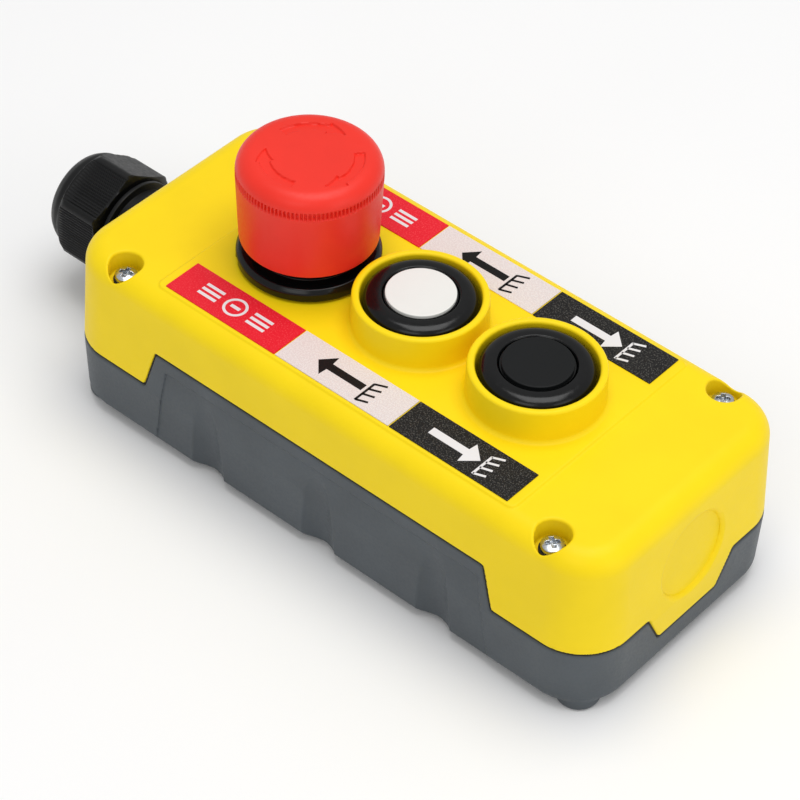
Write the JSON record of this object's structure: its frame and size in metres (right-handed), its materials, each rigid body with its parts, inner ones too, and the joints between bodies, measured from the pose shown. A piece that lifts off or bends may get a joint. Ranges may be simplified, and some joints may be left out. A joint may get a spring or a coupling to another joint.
{
  "type": "pendant control station",
  "caption": "Hand-held hanging control station: a two-part case with a cable gland, an emergency stop mushroom head and guarded push buttons.",
  "frame": {"origin": "under the middle of the overall box, on the plane that the rear feet rest on", "axes": "+Z points out of the front cover towards the user; +X runs from the cable gland to the far end of the case; +Y lies across the case"},
  "size_m": [0.2255, 0.0856, 0.0913],
  "materials": {
    "yellow_plastic": "fine textured, satin",
    "grey_plastic": "fine textured, satin",
    "black_rubber": "matte",
    "zinc_steel": "zinc plated",
    "red_label": "printed",
    "white_label": "printed",
    "black_label": "printed",
    "black_nylon": "satin nylon",
    "red_plastic": "satin",
    "white_plastic": "satin",
    "black_plastic": "glossy",
    "natural_nylon": "satin",
    "spring_steel": "bright",
    "cream_plastic": "satin",
    "green_plastic": "satin",
    "brass": "plain"
  },
  "bodies": {
    "case": {"front_cover": "yellow_plastic", "rear_case": "grey_plastic", "case_gasket": "black_rubber", "cover_screws": "zinc_steel", "cover_screw_washers": "black_rubber", "stop_labels": "red_label", "raise_labels": "white_label", "lower_labels": "black_label", "gland_body": "black_nylon", "gland_washer": "black_rubber", "gland_seal": "black_rubber", "gland_cap": "black_nylon", "gland_locknut": "black_nylon", "estop_bezel": "black_plastic", "estop_panel_gasket": "black_rubber", "estop_panel_nut": "black_plastic", "estop_return_spring": "spring_steel", "estop_mounting_collar": "black_plastic", "estop_contact_block": "cream_plastic", "estop_terminals": "brass", "estop_terminal_screws": "zinc_steel", "raise_bezel": "black_plastic", "raise_seal": "black_rubber", "raise_return_spring": "spring_steel", "raise_panel_gasket": "black_rubber", "raise_panel_nut": "black_plastic", "raise_mounting_collar": "black_plastic", "raise_contact_block": "cream_plastic", "raise_terminals": "brass", "raise_terminal_screws": "zinc_steel", "lower_bezel": "black_plastic", "lower_seal": "black_rubber", "lower_return_spring": "spring_steel", "lower_panel_gasket": "black_rubber", "lower_panel_nut": "black_plastic", "lower_mounting_collar": "black_plastic", "lower_contact_block": "cream_plastic", "lower_terminals": "brass", "lower_terminal_screws": "zinc_steel"},
    "estop_slider": {"estop_stem": "natural_nylon", "estop_retaining_clip": "spring_steel"},
    "estop_head": {"estop_mushroom": "red_plastic", "estop_latch_sleeve": "black_plastic"},
    "estop_contact": {"estop_contact_plunger": "red_plastic", "estop_contact_bridge": "brass"},
    "raise_button": {"raise_plunger": "black_plastic", "raise_cap": "white_plastic", "raise_retaining_clip": "spring_steel"},
    "raise_contact": {"raise_contact_plunger": "green_plastic", "raise_contact_bridge": "brass"},
    "lower_button": {"lower_plunger": "black_plastic", "lower_cap": "black_plastic", "lower_retaining_clip": "spring_steel"},
    "lower_contact": {"lower_contact_plunger": "green_plastic", "lower_contact_bridge": "brass"}
  },
  "joints": [
    {"name": "estop_press", "type": "slide", "parent": "case", "child": "estop_slider", "axis": [0, 0, -1], "range_m": [0, 0.004], "stiffness_N_per_m": 2000, "springref_m": -0.005, "deforming": ["estop_return_spring"]},
    {"name": "estop_turn", "type": "hinge", "parent": "estop_slider", "child": "estop_head", "pos_m": [-0.02225, 0, 0.075], "axis": [0, 0, -1], "range_deg": [0, 40], "stiffness_Nm_per_rad": 0.15, "springref_deg": -11.46},
    {"name": "estop_contact_push", "type": "slide", "parent": "case", "child": "estop_contact", "axis": [0, 0, -1], "range_m": [0, 0.004]},
    {"name": "raise_press", "type": "slide", "parent": "case", "child": "raise_button", "axis": [0, 0, -1], "range_m": [0, 0.004], "stiffness_N_per_m": 900, "springref_m": -0.003, "deforming": ["raise_return_spring"]},
    {"name": "raise_contact_push", "type": "slide", "parent": "case", "child": "raise_contact", "axis": [0, 0, -1], "range_m": [0, 0.004]},
    {"name": "lower_press", "type": "slide", "parent": "case", "child": "lower_button", "axis": [0, 0, -1], "range_m": [0, 0.004], "stiffness_N_per_m": 900, "springref_m": -0.003, "deforming": ["lower_return_spring"]},
    {"name": "lower_contact_push", "type": "slide", "parent": "case", "child": "lower_contact", "axis": [0, 0, -1], "range_m": [0, 0.004]}
  ],
  "couplings": [
    {"joint": "estop_contact_push", "follows": "estop_press", "ratio": 1},
    {"joint": "raise_contact_push", "follows": "raise_press", "ratio": 1},
    {"joint": "lower_contact_push", "follows": "lower_press", "ratio": 1}
  ]
}
